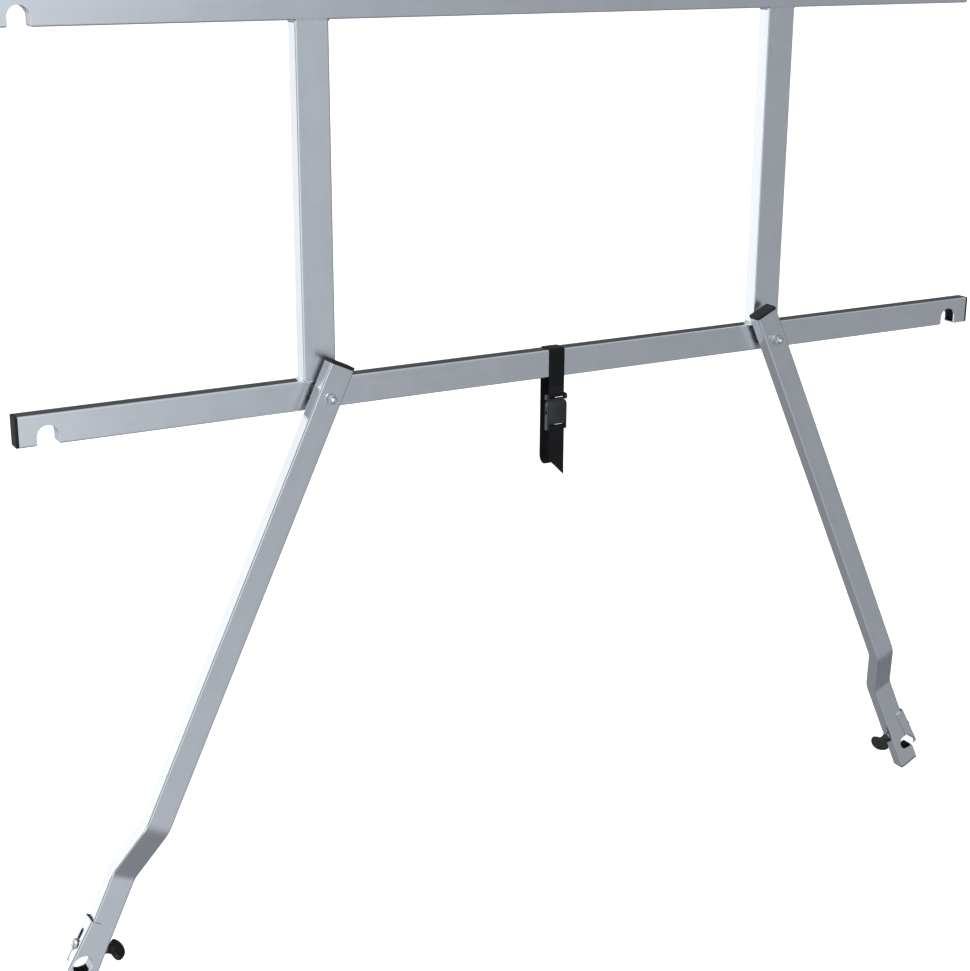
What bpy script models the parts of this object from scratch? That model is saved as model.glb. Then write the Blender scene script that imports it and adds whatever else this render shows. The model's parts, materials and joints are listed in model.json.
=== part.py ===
"""Folding guardrail frame for a scaffold tower, built piece by piece.

Two hollow rails with rung hooks are joined by two uprights. Two splayed legs turn on bolts in
front of the lower rail and end in claws, each with a sliding jaw that a thumb knob clamps.
A webbing strap with a side-release buckle hangs round the middle of the lower rail.

Metres, +Z up. The origin is on the axis of the rung that the lower hooks sit on, midway
between the two hooks. +X runs along the rails and +Y points away from the legs' side.
"""
import math

import bmesh
import bpy
from mathutils import Matrix, Vector

GAP = 0.0003                  # clearance kept between two pieces that touch
WELD = 0.00002                # distance for joining a curve's caps to its walls
ROUND = 32                    # sides of a turned piece

# Scaffold that the frame fits
RUNG_NOTCH_RADIUS = 0.0155
RUNG_SPAN = 1.640             # between the two hooks of one rail

# Rails and uprights, hollow bar
RAIL_LENGTH = 1.730           # over the end caps
RAIL_HEIGHT = 0.045
RAIL_DEPTH = 0.025
RAIL_BOTTOM = -0.013          # below the rung's axis
RAIL_SPACING = 0.560          # two rungs of the scaffold
WALL = 0.0022
CORNER = 0.0026
UPRIGHT_X = 0.410
UPRIGHT_WIDTH = 0.052
NOTCH_LIP_RADIUS = 0.003
CAP_FLANGE = 0.0042
CAP_INSERT = 0.014
CAP_ROUNDING = 0.0011

# Legs, hollow bar with a double bend
PIVOT_X = 0.409
SPLAY = math.radians(25.15)   # from the vertical
PIVOT_Z = RAIL_BOTTOM + RAIL_HEIGHT / 2
LEG_WIDTH = 0.040
LEG_DEPTH = 0.025
LEG_STANDOFF = 0.008          # from the rail's front face to the leg's back face
LEG_Y = -RAIL_DEPTH / 2 - LEG_STANDOFF - LEG_DEPTH / 2
LEG_ABOVE_PIVOT = 0.0495
LEG_TUBE_END = 0.9925         # below the pivot, along the leg
BEND_START = 0.696
BEND_END = 0.794
BEND_SHIFT = 0.048
BEND_RADIUS = 0.045
FOOT_Y = LEG_Y + BEND_SHIFT
TOP_CAP_FLANGE = 0.0048
FOOT_PLUG_FLANGE = 0.003

# Claw: a notch like the hooks', for a lower rung
CLAW_OUT = 0.0095             # its centre, outward from the leg's middle line
CLAW_S = 0.9475               # its centre, along the leg below the pivot

# Pivot fasteners, M8
BOLT_RADIUS = 0.004
BOLT_CLEARANCE = 0.0004
BOLT_TIP = 0.0165             # in front of the leg's front face
HEX_RADIUS = 0.0075           # to the corners, 13 mm across flats
BOLT_HEAD = 0.0053
NUT_HEIGHT = 0.008
WASHER_THICK = 0.0016
WASHER_RADIUS = 0.009
SPACER_RADIUS = 0.0155
BUSH_RADIUS = 0.006

# Clamp bolt, jaw and thumb knob
CLAMP_S = 0.9200
CLAMP_RADIUS = 0.004
CLAMP_HEAD_RADIUS = 0.0078
CLAMP_HEAD_HEIGHT = 0.0052
CLAMP_HEAD_OUT = 0.0288
CLAMP_END = 0.012             # shank past the leg's inner side
JAW_TOP_S = 0.8757
JAW_LENGTH = 0.083
JAW_TOP_OUT = 0.0243
JAW_TILT = math.radians(4.5)
JAW_WALL = 0.002
JAW_FLANGE = 0.0175
JAW_SIDE_GAP = 0.0004
JAW_CORNER = 0.003
SLOT_TOP_S = 0.8934
SLOT_END_S = 0.9492
KNOB_WASHER = 0.0016
KNOB_WASHER_RADIUS = 0.0095
KNOB_STEM_RADIUS = 0.0078
KNOB_FOOT_RADIUS = 0.0086
KNOB_WING_BASE = 0.0188       # where the wing starts, above the knob's foot
KNOB_HEIGHT = 0.0315
KNOB_HALF_SPAN = 0.0210
KNOB_THICK = 0.0085
INSERT_RADIUS = 0.0056
INSERT_LENGTH = 0.0095
KNOB_TURN = {-1: math.radians(-75), 1: math.radians(85)}

# Strap and buckle
STRAP_X = -0.0012
STRAP_WIDTH = 0.028
STRAP_THICK = 0.0015
STRAP_OFFSET = GAP + STRAP_THICK / 2
STRAP_LOOP_BOTTOM = -0.1470   # centre of the loop's turn
STRAP_TAIL_END = -0.1764
STRAP_SPLIT_Z = 0.0285        # where the front strand meets the stretch over the rail
STRAP_SEWN_END = 0.014
BUCKLE_Y = -RAIL_DEPTH / 2
BUCKLE_THICK = 0.0088
SOCKET_TOP = -0.0507
SOCKET_BOTTOM = -0.0989
SOCKET_HALF = 0.0200
SOCKET_MOUTH_HALF = 0.0168
SOCKET_CAVITY_HALF = 0.0136
SOCKET_CAVITY_DEPTH = 0.0270
SOCKET_CAVITY_THICK = 0.0054
LADDER_BAR_Z = -0.0955
LADDER_BAR_RADIUS = 0.002
LADDER_TOP = -0.0880
WINDOW_TOP = -0.0600
WINDOW_END = -0.0735
PLUG_TOP = -0.0405
PLUG_BAR_Z = -0.0435
PLUG_BAR_RADIUS = 0.0015
PLUG_BAR_Y = -RAIL_DEPTH / 2 - STRAP_OFFSET + PLUG_BAR_RADIUS + STRAP_OFFSET
PLUG_HALF = 0.0192
PLUG_THICK = 0.0066
PLUG_SLOT_HALF = 0.0146
PLUG_SLOT_END = -0.0480
TONGUE_HALF = 0.0025
TONGUE_LENGTH = 0.022
PRONG_THICK = 0.0042
PRONG_ROOT_Z = SOCKET_TOP - 0.0001
PRONG_LENGTH = 0.0215
PRONG_IN = 0.0072
PRONG_OUT = 0.0110
PRONG_TAB_OUT = 0.0188

COLORS = {
    "aluminium": ((0.62, 0.64, 0.67, 1), 0.30, 1.0),
    "zinc_steel": ((0.60, 0.61, 0.62, 1), 0.32, 1.0),
    "black_plastic": ((0.030, 0.031, 0.034, 1), 0.45, 0.0),
    "nylon": ((0.018, 0.018, 0.020, 1), 0.55, 0.0),
    "knob_plastic": ((0.020, 0.021, 0.023, 1), 0.40, 0.0),
    "webbing": ((0.012, 0.013, 0.014, 1), 0.85, 0.0),
    "buckle_plastic": ((0.035, 0.037, 0.039, 1), 0.38, 0.0),
}

PARTS = None
CUTTERS = None
MATERIALS = {}


# ---------------------------------------------------------------- scene and placing

def reset_scene():
    for obj in list(bpy.data.objects):
        bpy.data.objects.remove(obj, do_unlink=True)
    for name in ("folding_guardrail_frame", "cutters"):
        bpy.context.scene.collection.children.link(bpy.data.collections.new(name))
    for name, (color, roughness, metallic) in COLORS.items():
        mat = bpy.data.materials.new(name)
        mat.use_nodes = True
        shader = mat.node_tree.nodes["Principled BSDF"]
        shader.inputs["Base Color"].default_value = color
        shader.inputs["Roughness"].default_value = roughness
        shader.inputs["Metallic"].default_value = metallic
        mat.diffuse_color = color
        MATERIALS[name] = mat
    return bpy.data.collections["folding_guardrail_frame"], bpy.data.collections["cutters"]


def empty(name, location=(0, 0, 0), rotation=(0, 0, 0), parent=None):
    obj = bpy.data.objects.new(name, None)
    PARTS.objects.link(obj)
    obj.location = location
    obj.rotation_euler = rotation
    obj.parent = parent
    return obj


def place(name, mesh, material=None, at=(0, 0, 0), turn=(0, 0, 0), parent=None):
    """Link a mesh as a part, or as a cutter when it has no material."""
    obj = bpy.data.objects.new(name, mesh)
    obj.location = at
    obj.rotation_euler = turn
    obj.parent = parent
    if material:
        mesh.materials.clear()
        mesh.materials.append(MATERIALS[material])
        PARTS.objects.link(obj)
    else:
        obj.hide_render = True
        obj.display_type = "WIRE"
        CUTTERS.objects.link(obj)
    return obj


def boolean(target, cutter, operation="DIFFERENCE"):
    mod = target.modifiers.new(operation.title(), "BOOLEAN")
    mod.operation = operation
    mod.solver = "EXACT"
    mod.object = cutter


def bevel(obj, width, segments=2, angle=40):
    mod = obj.modifiers.new("Bevel", "BEVEL")
    mod.width = width
    mod.segments = segments
    mod.limit_method = "ANGLE"
    mod.angle_limit = math.radians(angle)


def smooth(mesh, angle=35):
    mesh.shade_smooth()
    mesh.set_sharp_from_angle(angle=math.radians(angle))


# ---------------------------------------------------------------- shapes

def arc(center, radius, start, end, steps):
    """Points of an arc from start to end degrees, both ends included."""
    angles = [math.radians(start + (end - start) * i / steps) for i in range(steps + 1)]
    return [(center[0] + radius * math.cos(a), center[1] + radius * math.sin(a)) for a in angles]


def rounded_rect(width, height, radius, steps=4):
    x, y = width / 2 - radius, height / 2 - radius
    corners = ((x, y, 0), (-x, y, 90), (-x, -y, 180), (x, -y, 270))
    return [p for cx, cy, a in corners for p in arc((cx, cy), radius, a, a + 90, steps)]


def box_mesh(name, size, center=(0, 0, 0)):
    bm = bmesh.new()
    place_at = Matrix.Translation(center) @ Matrix.Diagonal((*size, 1))
    bmesh.ops.create_cube(bm, size=1, matrix=place_at)
    mesh = bpy.data.meshes.new(name)
    bm.to_mesh(mesh)
    bm.free()
    return mesh


def cylinder_mesh(name, radius, length, axis="Z", center=(0, 0, 0), sides=ROUND):
    turn = {
        "X": Matrix.Rotation(math.radians(90), 4, "Y"),
        "Y": Matrix.Rotation(math.radians(90), 4, "X"),
        "Z": Matrix.Identity(4),
    }[axis]
    bm = bmesh.new()
    bmesh.ops.create_cone(
        bm, cap_ends=True, segments=sides, radius1=radius, radius2=radius, depth=length,
        matrix=Matrix.Translation(center) @ turn)
    mesh = bpy.data.meshes.new(name)
    bm.to_mesh(mesh)
    bm.free()
    smooth(mesh)
    return mesh


def curve_mesh(name, curve):
    """The evaluated mesh of a curve, with its caps welded to its walls."""
    obj = bpy.data.objects.new(name, curve)
    bpy.context.scene.collection.objects.link(obj)
    graph = bpy.context.evaluated_depsgraph_get()
    mesh = bpy.data.meshes.new_from_object(obj.evaluated_get(graph))
    mesh.name = name
    bpy.data.objects.remove(obj, do_unlink=True)
    bm = bmesh.new()
    bm.from_mesh(mesh)
    bmesh.ops.remove_doubles(bm, verts=bm.verts, dist=WELD)
    bmesh.ops.recalc_face_normals(bm, faces=bm.faces)
    bm.to_mesh(mesh)
    bm.free()
    return mesh


def add_spline(curve, points, closed):
    spline = curve.splines.new("POLY")
    spline.points.add(len(points) - 1)
    for point, co in zip(spline.points, points):
        x, y, z = (*co, 0)[:3]
        point.co = (x, y, z, 1)
    spline.use_cyclic_u = closed


def prism_mesh(name, outlines, thickness):
    """Flat outlines in local XY, the later ones holes in the first, extruded along local Z."""
    curve = bpy.data.curves.new(name, "CURVE")
    curve.dimensions = "2D"
    curve.fill_mode = "BOTH"
    curve.extrude = thickness / 2
    for outline in outlines:
        add_spline(curve, outline, closed=True)
    mesh = curve_mesh(name, curve)
    smooth(mesh)
    return mesh


def ribbon_mesh(name, points, width):
    """A line in local XY drawn out along local Z as an open band."""
    curve = bpy.data.curves.new(name, "CURVE")
    curve.dimensions = "2D"
    curve.fill_mode = "NONE"
    curve.extrude = width / 2
    add_spline(curve, points, closed=False)
    return curve_mesh(name, curve)


def hollow_bar_mesh(name, width, depth, length, wall=WALL, corner=CORNER):
    outer = rounded_rect(width, depth, corner)
    inner = rounded_rect(width - 2 * wall, depth - 2 * wall, corner - wall, steps=2)
    return prism_mesh(name, (outer, inner), length)


def turned_mesh(name, profile, sides=ROUND):
    """A closed profile of (radius, height) points turned about local Z."""
    bm = bmesh.new()
    verts = [bm.verts.new((r, 0, z)) for r, z in profile]
    ring = profile[0][0] > 0 and profile[-1][0] > 0
    pairs = list(zip(verts, verts[1:] + verts[:1])) if ring else list(zip(verts, verts[1:]))
    for a, b in pairs:
        bm.edges.new((a, b))
    bmesh.ops.spin(
        bm, geom=bm.verts[:] + bm.edges[:], cent=(0, 0, 0), axis=(0, 0, 1),
        angle=math.radians(360), steps=sides, use_merge=True, use_duplicate=False)
    bmesh.ops.remove_doubles(bm, verts=bm.verts, dist=WELD)
    bmesh.ops.recalc_face_normals(bm, faces=bm.faces)
    mesh = bpy.data.meshes.new(name)
    bm.to_mesh(mesh)
    bm.free()
    smooth(mesh)
    return mesh


def loft_mesh(name, rings):
    """Rounded rectangles (width, depth, radius, height) joined in order and closed."""
    bm = bmesh.new()
    loops = []
    for width, depth, radius, height in rings:
        outline = rounded_rect(width, depth, radius)
        loops.append([bm.verts.new((x, y, height)) for x, y in outline])
    for low, high in zip(loops, loops[1:]):
        for i in range(len(low)):
            j = (i + 1) % len(low)
            bm.faces.new((low[i], low[j], high[j], high[i]))
    bm.faces.new(list(reversed(loops[0])))
    bm.faces.new(loops[-1])
    mesh = bpy.data.meshes.new(name)
    bm.to_mesh(mesh)
    bm.free()
    smooth(mesh)
    return mesh


def ring_mesh(name, outer, inner, height, chamfer=0.0003):
    """A washer or bush standing on local Z = 0."""
    return turned_mesh(name, (
        (outer, chamfer), (outer, height - chamfer), (outer - chamfer, height), (inner, height),
        (inner, 0), (outer - chamfer, 0)))


def along_x():
    """Rotation that lays a local XY outline across the rails, with local Z along +X."""
    return (math.radians(90), 0, math.radians(90))


def along_y():
    """Rotation that turns local Z to world -Y and keeps local X."""
    return (math.radians(90), 0, 0)


# ---------------------------------------------------------------- frame

def notch_outline(depth):
    """A rung notch: round end up at the origin, mouth with rounded lips at -depth."""
    r, lip = RUNG_NOTCH_RADIUS, NOTCH_LIP_RADIUS
    past = depth + 0.008
    right_lip = arc((r + lip, -depth + lip), lip, 180, 270, 4)
    left_lip = arc((-r - lip, -depth + lip), lip, 270, 360, 4)
    return (
        arc((0, 0), r, 180, 0, 16) + right_lip
        + [(r + lip, -past), (-r - lip, -past)] + left_lip)


def rail(name, level, cutters):
    tube = RAIL_LENGTH - 2 * (CAP_FLANGE + GAP)
    mesh = hollow_bar_mesh(name, RAIL_DEPTH, RAIL_HEIGHT, tube)
    middle = RAIL_BOTTOM + RAIL_HEIGHT / 2 + level
    obj = place(name, mesh, "aluminium", at=(0, 0, middle), turn=along_x())
    for cutter in cutters:
        boolean(obj, cutter)
    return obj


def hook_cutters(name, level):
    found = []
    for side in (-1, 1):
        mesh = prism_mesh(f"{name}_notch", (notch_outline(-RAIL_BOTTOM),), RAIL_DEPTH * 2)
        at = (side * RUNG_SPAN / 2, 0, level)
        found.append(place(f"{name}_notch_{side:+d}", mesh, at=at, turn=along_y()))
    return found


def pivot_hole_cutters():
    found = []
    for side in (-1, 1):
        mesh = cylinder_mesh("pivot_hole", BOLT_RADIUS + BOLT_CLEARANCE, RAIL_DEPTH * 2, "Y")
        found.append(place(f"pivot_hole_{side:+d}", mesh, at=(side * PIVOT_X, 0, PIVOT_Z)))
    return found


def plug_mesh(name, width, depth, flange, insert):
    """A moulded end plug: its flange stands on local Z = 0 and its insert reaches below."""
    inner, inner_depth = width - 2 * (WALL + GAP), depth - 2 * (WALL + GAP)
    r = CAP_ROUNDING
    rings = [(inner - 0.0012, inner_depth - 0.0012, CORNER - WALL, -insert),
             (inner, inner_depth, CORNER - WALL, -0.001),
             (inner, inner_depth, CORNER - WALL, 0),
             (width, depth, CORNER, 0)]
    rings += [(width - 2 * (r - c), depth - 2 * (r - c), CORNER - (r - c), flange - r + z)
              for c, z in arc((0, 0), r, 0, 90, 4)]
    return loft_mesh(name, rings)


def rail_caps(row, level):
    middle = RAIL_BOTTOM + RAIL_HEIGHT / 2 + level
    for side, word in ((-1, "left"), (1, "right")):
        name = f"{row}_{word}_rail_cap"
        mesh = plug_mesh(name, RAIL_HEIGHT, RAIL_DEPTH, CAP_FLANGE, CAP_INSERT)
        at = (side * (RAIL_LENGTH / 2 - CAP_FLANGE), 0, middle)
        place(name, mesh, "black_plastic", at=at, turn=(0, side * math.radians(90), 0))


def build_frame():
    lower = hook_cutters("lower", 0) + pivot_hole_cutters()
    rail("lower_rail", 0, lower)
    rail("upper_rail", RAIL_SPACING, hook_cutters("upper", RAIL_SPACING))
    rail_caps("lower", 0)
    rail_caps("upper", RAIL_SPACING)
    clear = RAIL_SPACING - RAIL_HEIGHT
    foot = RAIL_BOTTOM + RAIL_HEIGHT
    for side, word in ((-1, "left"), (1, "right")):
        name = f"{word}_upright"
        mesh = hollow_bar_mesh(name, UPRIGHT_WIDTH, RAIL_DEPTH, clear - 2 * GAP)
        place(name, mesh, "aluminium", at=(side * UPRIGHT_X, 0, foot + clear / 2))


# ---------------------------------------------------------------- pivots

def pivot_stack(side, word):
    """The bolt from behind the rail, and all that it holds, out to the nut in front."""
    axis = empty(f"{word}_pivot_axis", (side * PIVOT_X, 0, PIVOT_Z), along_y())
    back = -RAIL_DEPTH / 2 - GAP
    head_at = back - WASHER_THICK - GAP
    leg_front = -LEG_Y + LEG_DEPTH / 2
    tip = leg_front + BOLT_TIP

    name = f"{word}_pivot_bolt"
    head = cylinder_mesh(name, HEX_RADIUS, BOLT_HEAD, "Z", (0, 0, head_at - BOLT_HEAD / 2), 6)
    bolt = place(name, head, "zinc_steel", parent=axis)
    bevel(bolt, 0.0004, 1, angle=70)
    shank = [(0, head_at - 0.001), (BOLT_RADIUS, head_at - 0.001), (BOLT_RADIUS, tip - 0.0008),
             (BOLT_RADIUS - 0.0008, tip), (0, tip)]
    rod = turned_mesh(f"{name}_shank", shank)
    boolean(bolt, place(f"{name}_shank", rod, parent=axis), "UNION")

    bore = BOLT_RADIUS + BOLT_CLEARANCE
    washer_out = leg_front + GAP
    for kind, radius, height, base, material in (
            ("back_washer", WASHER_RADIUS, WASHER_THICK, back - WASHER_THICK, "zinc_steel"),
            ("pivot_spacer", SPACER_RADIUS, LEG_STANDOFF - 2 * GAP,
             RAIL_DEPTH / 2 + GAP, "nylon"),
            ("pivot_bush", BUSH_RADIUS, LEG_DEPTH, -LEG_Y - LEG_DEPTH / 2, "zinc_steel"),
            ("front_washer", WASHER_RADIUS, WASHER_THICK, washer_out, "zinc_steel")):
        mesh = ring_mesh(f"{word}_{kind}", radius, bore, height)
        place(f"{word}_{kind}", mesh, material, at=(0, 0, base), parent=axis)

    name = f"{word}_pivot_nut"
    middle = washer_out + WASHER_THICK + GAP + NUT_HEIGHT / 2
    nut = place(name, cylinder_mesh(name, HEX_RADIUS, NUT_HEIGHT, "Z", (0, 0, middle), 6),
                "zinc_steel", parent=axis)
    bevel(nut, 0.0004, 1, angle=70)
    hole = cylinder_mesh(f"{name}_bore", BOLT_RADIUS + GAP, 0.02, "Z", (0, 0, middle))
    boolean(nut, place(f"{name}_bore", hole, parent=axis))


# ---------------------------------------------------------------- legs

def leg_path():
    """Middle line of the leg in its own YZ plane, pivot at the origin, with two round bends."""
    rise = math.atan2(BEND_SHIFT, BEND_END - BEND_START)
    cut = BEND_RADIUS * math.tan(rise / 2)
    steps = 6
    first = [(LEG_Y + BEND_RADIUS * (1 - math.cos(rise * i / steps)),
              -(BEND_START - cut + BEND_RADIUS * math.sin(rise * i / steps)))
             for i in range(steps + 1)]
    second = [(FOOT_Y - BEND_RADIUS * (1 - math.cos(rise * i / steps)),
               -(BEND_END + cut - BEND_RADIUS * math.sin(rise * i / steps)))
              for i in range(steps, -1, -1)]
    line = [(LEG_Y, LEG_ABOVE_PIVOT)] + first + second + [(FOOT_Y, -LEG_TUBE_END)]
    return [(0, y, z) for y, z in line]


def leg_tube_mesh(name):
    section = bpy.data.curves.new(f"{name}_section", "CURVE")
    section.dimensions = "2D"
    section.fill_mode = "NONE"
    add_spline(section, rounded_rect(LEG_WIDTH, LEG_DEPTH, CORNER), closed=True)
    section_obj = bpy.data.objects.new(f"{name}_section", section)
    bpy.context.scene.collection.objects.link(section_obj)
    path = bpy.data.curves.new(name, "CURVE")
    path.dimensions = "3D"
    path.twist_mode = "Z_UP"
    path.bevel_mode = "OBJECT"
    path.bevel_object = section_obj
    add_spline(path, leg_path(), closed=False)
    mesh = curve_mesh(name, path)
    bpy.data.objects.remove(section_obj, do_unlink=True)
    smooth(mesh)
    return mesh


def leg(side, word):
    """The leg hangs from an empty on its pivot; its local X points outward on the right leg."""
    axis = empty(f"{word}_leg_axis", (side * PIVOT_X, 0, PIVOT_Z), (0, -side * SPLAY, 0))
    name = f"{word}_leg"
    tube = place(name, leg_tube_mesh(name), "aluminium", parent=axis)
    shell = tube.modifiers.new("Wall", "SOLIDIFY")
    shell.thickness = WALL
    shell.offset = -1
    shell.use_even_offset = True
    bush_hole = cylinder_mesh(f"{name}_bush_hole", BUSH_RADIUS + BOLT_CLEARANCE, 0.04, "Y",
                              (0, LEG_Y, 0))
    boolean(tube, place(f"{name}_bush_hole", bush_hole, parent=axis))
    bolt_hole = cylinder_mesh(f"{name}_clamp_hole", CLAMP_RADIUS + BOLT_CLEARANCE, 0.06, "X",
                              (0, FOOT_Y, -CLAMP_S))
    boolean(tube, place(f"{name}_clamp_hole", bolt_hole, parent=axis))
    notch = prism_mesh(f"{name}_notch", (notch_outline(LEG_WIDTH / 2 - CLAW_OUT),), 0.05)
    boolean(tube, place(
        f"{name}_notch", notch, at=(side * CLAW_OUT, FOOT_Y, -CLAW_S), parent=axis,
        turn=(math.radians(90), side * math.radians(-90), 0)))

    cap_name = f"{word}_leg_top_cap"
    cap = plug_mesh(cap_name, LEG_WIDTH, LEG_DEPTH, TOP_CAP_FLANGE, CAP_INSERT)
    place(cap_name, cap, "black_plastic", at=(0, LEG_Y, LEG_ABOVE_PIVOT + GAP), parent=axis)
    plug_name = f"{word}_foot_plug"
    plug = plug_mesh(plug_name, LEG_WIDTH, LEG_DEPTH, FOOT_PLUG_FLANGE, CAP_INSERT)
    place(plug_name, plug, "black_plastic", at=(0, FOOT_Y, -LEG_TUBE_END - GAP),
          turn=(math.radians(180), 0, 0), parent=axis)
    clamp_bolt(side, word, axis)
    jaw(side, word, axis)
    knob(side, word, axis)


def clamp_bolt(side, word, axis):
    """A dome-headed bolt across the foot; local +Z of its mesh points outward."""
    head = arc((0, 0), 1, 0, 90, 6)
    flat = -LEG_WIDTH / 2 - CLAMP_END - CLAMP_HEAD_OUT
    profile = [(0, flat), (CLAMP_RADIUS - 0.0005, flat), (CLAMP_RADIUS, flat + 0.0005),
               (CLAMP_RADIUS, 0), (CLAMP_HEAD_RADIUS, 0), (CLAMP_HEAD_RADIUS, 0.0008)]
    profile += [(CLAMP_HEAD_RADIUS * c, 0.0008 + (CLAMP_HEAD_HEIGHT - 0.0008) * s)
                for c, s in head[1:-1]]
    profile += [(0, CLAMP_HEAD_HEIGHT)]
    name = f"{word}_clamp_bolt"
    place(name, turned_mesh(name, profile), "zinc_steel", parent=axis,
          at=(side * CLAMP_HEAD_OUT, FOOT_Y, -CLAMP_S), turn=(0, side * math.radians(90), 0))


def jaw(side, word, axis):
    """A tilted channel over the foot's outer side, slotted for the clamp bolt."""
    name = f"{word}_jaw"
    top = empty(f"{word}_jaw_slide", (side * JAW_TOP_OUT, FOOT_Y, -JAW_TOP_S),
                (0, -side * JAW_TILT, 0), axis)
    across = LEG_DEPTH + 2 * (JAW_SIDE_GAP + JAW_WALL)
    mesh = hollow_bar_mesh(name, 2 * JAW_FLANGE, across, JAW_LENGTH, JAW_WALL, JAW_CORNER)
    obj = place(name, mesh, "aluminium", at=(-side * JAW_FLANGE, 0, -JAW_LENGTH / 2), parent=top)
    half = box_mesh(f"{name}_open_side", (0.03, 0.05, JAW_LENGTH * 1.2))
    boolean(obj, place(f"{name}_open_side", half, parent=top,
                       at=(-side * (JAW_FLANGE + 0.015), 0, -JAW_LENGTH / 2)))
    radius = CLAMP_RADIUS + BOLT_CLEARANCE
    reach = (SLOT_END_S - SLOT_TOP_S) / 2 - radius
    outline = arc((0, reach), radius, 0, 180, 10) + arc((0, -reach), radius, 180, 360, 10)
    slot = prism_mesh(f"{name}_slot", (outline,), 0.02)
    slot_z = JAW_TOP_S - (SLOT_TOP_S + SLOT_END_S) / 2
    boolean(obj, place(f"{name}_slot", slot, at=(0, 0, slot_z), parent=top,
                       turn=(math.radians(90), 0, math.radians(90))))
    rung = cylinder_mesh(f"{name}_rung", RUNG_NOTCH_RADIUS + GAP, 0.06, "Y", sides=48)
    boolean(obj, place(f"{name}_rung", rung, at=(side * CLAW_OUT, FOOT_Y, -CLAW_S), parent=axis))


def knob(side, word, axis):
    """Thumb knob, its threaded insert and washer, on the foot's inner side."""
    spin = empty(f"{word}_knob_axis", (-side * LEG_WIDTH / 2, FOOT_Y, -CLAMP_S),
                 (0, -side * math.radians(90), 0), axis)
    washer = ring_mesh(f"{word}_knob_washer", KNOB_WASHER_RADIUS,
                       CLAMP_RADIUS + BOLT_CLEARANCE, KNOB_WASHER)
    place(f"{word}_knob_washer", washer, "zinc_steel", at=(0, 0, GAP), parent=spin)
    base = 2 * GAP + KNOB_WASHER
    insert = ring_mesh(f"{word}_knob_insert", INSERT_RADIUS, CLAMP_RADIUS + GAP, INSERT_LENGTH)
    place(f"{word}_knob_insert", insert, "zinc_steel", at=(0, 0, base), parent=spin)

    name = f"{word}_thumb_knob"
    half, low = KNOB_HALF_SPAN, KNOB_WING_BASE
    wing = [(half * c, low + (KNOB_HEIGHT - low) * s) for c, s in arc((0, 0), 1, 0, 180, 18)]
    wing += [(-half + 0.003, low - 0.0026), (-0.008, low - 0.0045), (0.008, low - 0.0045),
             (half - 0.003, low - 0.0026)]
    obj = place(name, prism_mesh(name, (wing,), KNOB_THICK), "knob_plastic", parent=spin,
                at=(0, 0, base), turn=(math.radians(90), 0, KNOB_TURN[side]))
    bevel(obj, 0.0021, 3, angle=50)
    stem = [(0, 0), (KNOB_FOOT_RADIUS, 0), (KNOB_FOOT_RADIUS, 0.0025),
            (KNOB_STEM_RADIUS, 0.0040), (KNOB_STEM_RADIUS, low - 0.0012),
            (KNOB_STEM_RADIUS - 0.0022, low + 0.0015), (0, low + 0.0015)]
    boolean(obj, place(f"{name}_stem", turned_mesh(f"{name}_stem", stem), at=(0, 0, base),
                       parent=spin), "UNION")
    bore = cylinder_mesh(f"{name}_bore", INSERT_RADIUS + GAP, 0.030, "Z",
                         (0, 0, base + CLAMP_END - 0.014))
    boolean(obj, place(f"{name}_bore", bore, parent=spin))


# ---------------------------------------------------------------- strap and buckle

def band(name, points, material="webbing"):
    """A strap along points in the YZ plane, as wide as the webbing."""
    mesh = ribbon_mesh(name, points, STRAP_WIDTH)
    obj = place(name, mesh, material, at=(STRAP_X, 0, 0), turn=along_x())
    skin = obj.modifiers.new("Thickness", "SOLIDIFY")
    skin.thickness = STRAP_THICK
    skin.offset = 0
    skin.use_even_offset = True
    return obj


def strap():
    """The front strand is sewn round the plug's bar; the rest loops over the rail."""
    out = RAIL_DEPTH / 2 + STRAP_OFFSET
    top = RAIL_BOTTOM + RAIL_HEIGHT + STRAP_OFFSET
    bend = CORNER + STRAP_OFFSET
    wrap = PLUG_BAR_RADIUS + STRAP_OFFSET
    front = [(-out, STRAP_SPLIT_Z - GAP)]
    front += arc((PLUG_BAR_Y, PLUG_BAR_Z), wrap, 180, 360, 10)
    front += [(PLUG_BAR_Y + wrap, PLUG_BAR_Z + STRAP_SEWN_END)]
    band("strap_front_strand", front)

    turn = LADDER_BAR_RADIUS + STRAP_OFFSET
    behind = BUCKLE_Y + turn
    middle = (out + behind) / 2
    loop = [(-out, STRAP_SPLIT_Z)]
    loop += arc((-out + bend, top - bend), bend, 180, 90, 5)
    loop += arc((out - bend, top - bend), bend, 90, 0, 5)
    loop += arc((middle, STRAP_LOOP_BOTTOM), out - middle, 0, -180, 14)
    loop += arc((BUCKLE_Y, LADDER_BAR_Z), turn, 0, 180, 10)
    loop += [(BUCKLE_Y - turn, STRAP_TAIL_END)]
    obj = band("strap_loop", loop)
    trim = prism_mesh("tail_trim", ([(-0.0145, 0.0005), (0.0155, -0.0295), (-0.0145, -0.0295)],),
                      0.006)
    boolean(obj, place("tail_trim", trim, turn=along_y(), at=(
        STRAP_X, BUCKLE_Y - turn, STRAP_TAIL_END + STRAP_WIDTH)))


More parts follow.
